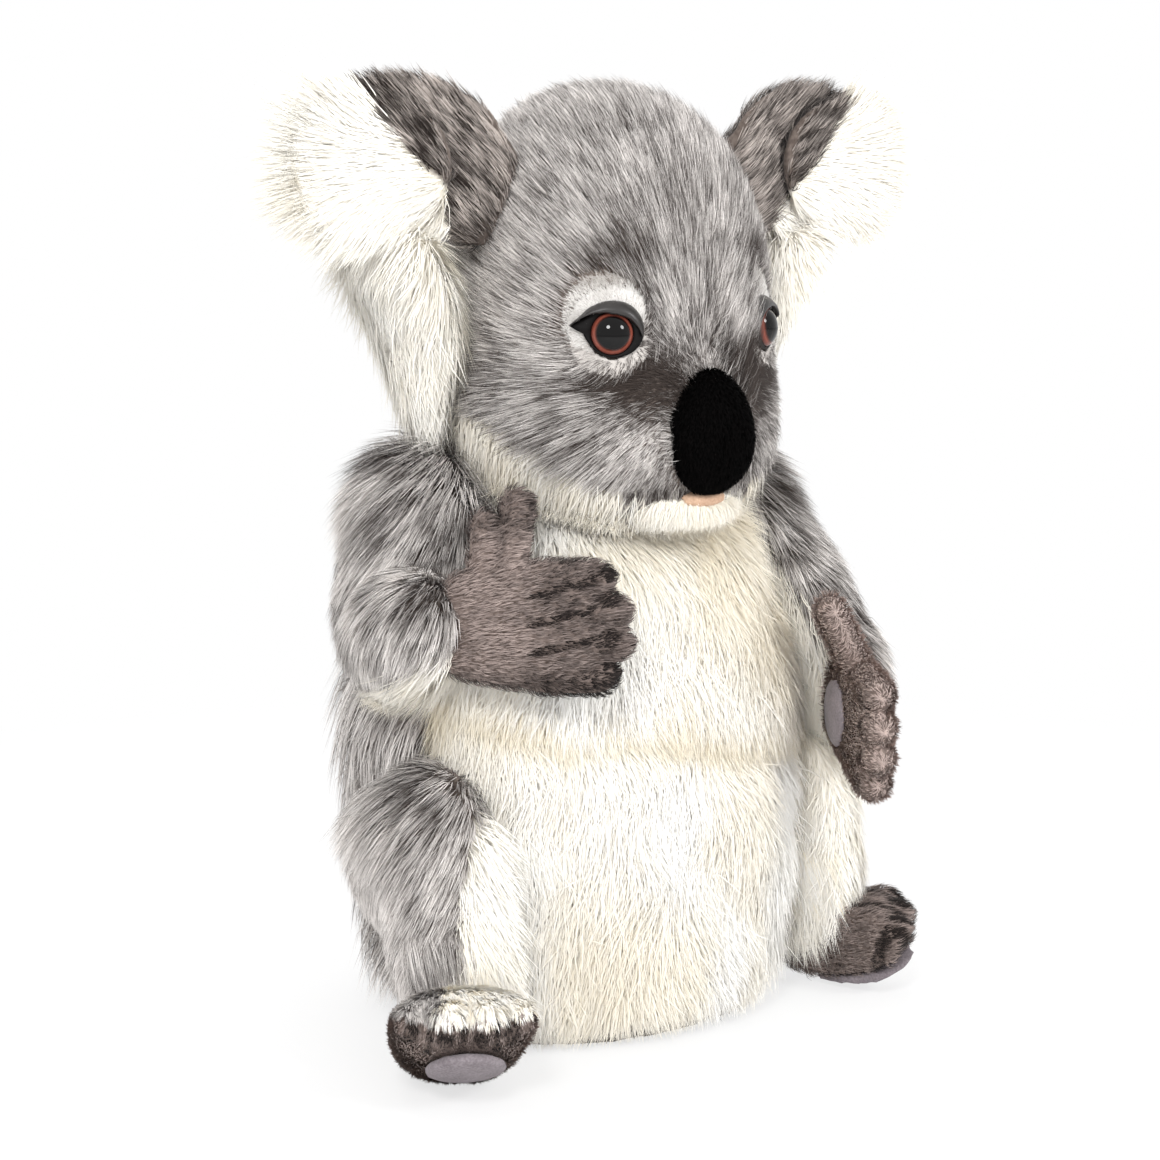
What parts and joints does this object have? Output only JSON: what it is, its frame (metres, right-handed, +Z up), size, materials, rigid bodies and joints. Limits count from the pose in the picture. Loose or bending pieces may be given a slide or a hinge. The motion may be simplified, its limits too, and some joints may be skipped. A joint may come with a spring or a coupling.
{
  "type": "plush koala",
  "caption": "Seated plush koala with long mottled grey and white pile, round fringed ears, domed eyes, a velvet nose, short-pile hands and feet with soft pads, on a flat weighted base.",
  "frame": {"origin": "middle of the flat seat, on the surface that it rests on", "axes": "+Z up, -Y the way the koala faces, +X its left side"},
  "size_m": [0.2038, 0.1407, 0.263],
  "materials": {
    "grey_plush": "long mottled grey pile with pale tips",
    "white_plush": "long cream white pile",
    "taupe_plush": "short taupe pile with airbrushed dark lines",
    "lilac_suede": "smooth suede cloth",
    "black_velvet": "flocked velvet",
    "black_gloss": "polished dome with a red-brown iris ring",
    "black_vinyl": "thin satin vinyl",
    "peach_felt": "felt",
    "calico": "plain woven calico",
    "white_plastic": "moulded"
  },
  "bodies": {
    "trunk": {"torso": "grey_plush", "belly_panel": "white_plush", "pellet_bag": "calico", "base_panel": "grey_plush"},
    "neck": {"neck_plug": "white_plush"},
    "head_body": {"head": "grey_plush", "chin": "white_plush", "nose": "black_velvet", "lip": "peach_felt", "right_eye": "black_gloss", "right_eye_washer": "white_plastic", "right_eye_patch": "white_plush", "right_eyelid": "black_vinyl", "right_ear": "grey_plush", "right_ear_lining": "white_plush", "right_ear_fringe": "white_plush", "left_eye": "black_gloss", "left_eye_washer": "white_plastic", "left_eye_patch": "white_plush", "left_eyelid": "black_vinyl", "left_ear": "grey_plush", "left_ear_lining": "white_plush", "left_ear_fringe": "white_plush"},
    "right_arm_body": {"right_upper_arm": "grey_plush", "right_forearm": "grey_plush"},
    "right_hand_body": {"right_hand": "taupe_plush", "right_thumb": "taupe_plush", "right_palm_pad": "lilac_suede"},
    "right_leg_body": {"right_leg": "grey_plush", "right_foot": "taupe_plush", "right_sole_pad": "lilac_suede"},
    "left_arm_body": {"left_upper_arm": "grey_plush", "left_forearm": "grey_plush"},
    "left_hand_body": {"left_hand": "taupe_plush", "left_thumb": "taupe_plush", "left_palm_pad": "lilac_suede"},
    "left_leg_body": {"left_leg": "grey_plush", "left_foot": "taupe_plush", "left_sole_pad": "lilac_suede"}
  },
  "joints": [
    {"name": "head_turn", "type": "hinge", "parent": "trunk", "child": "neck", "pos_m": [0, 0.004, 0.162], "axis": [0, -0.309, 0.9511], "range_deg": [-30, 30]},
    {"name": "head_nod", "type": "hinge", "parent": "neck", "child": "head_body", "pos_m": [0, 0.004, 0.162], "axis": [1, 0, 0], "range_deg": [-8, 8]},
    {"name": "right_shoulder", "type": "hinge", "parent": "trunk", "child": "right_arm_body", "pos_m": [-0.045, 0.012, 0.146], "axis": [1, 0, 0], "range_deg": [-40, 6]},
    {"name": "left_shoulder", "type": "hinge", "parent": "trunk", "child": "left_arm_body", "pos_m": [0.045, 0.012, 0.146], "axis": [1, 0, 0], "range_deg": [-45, 2]},
    {"name": "right_wrist", "type": "hinge", "parent": "right_arm_body", "child": "right_hand_body", "pos_m": [-0.073, -0.023, 0.121], "axis": [0, 0, 1], "range_deg": [-12, 6]},
    {"name": "left_wrist", "type": "hinge", "parent": "left_arm_body", "child": "left_hand_body", "pos_m": [0.07, -0.029, 0.089], "axis": [-0.0696, -0.1205, 0.9903], "range_deg": [-12, 12]},
    {"name": "right_hip", "type": "hinge", "parent": "trunk", "child": "right_leg_body", "pos_m": [-0.049, 0.016, 0.04], "axis": [1, 0, 0], "range_deg": [-22, 0]},
    {"name": "left_hip", "type": "hinge", "parent": "trunk", "child": "left_leg_body", "pos_m": [0.049, 0.016, 0.04], "axis": [1, 0, 0], "range_deg": [-12, 0]}
  ]
}
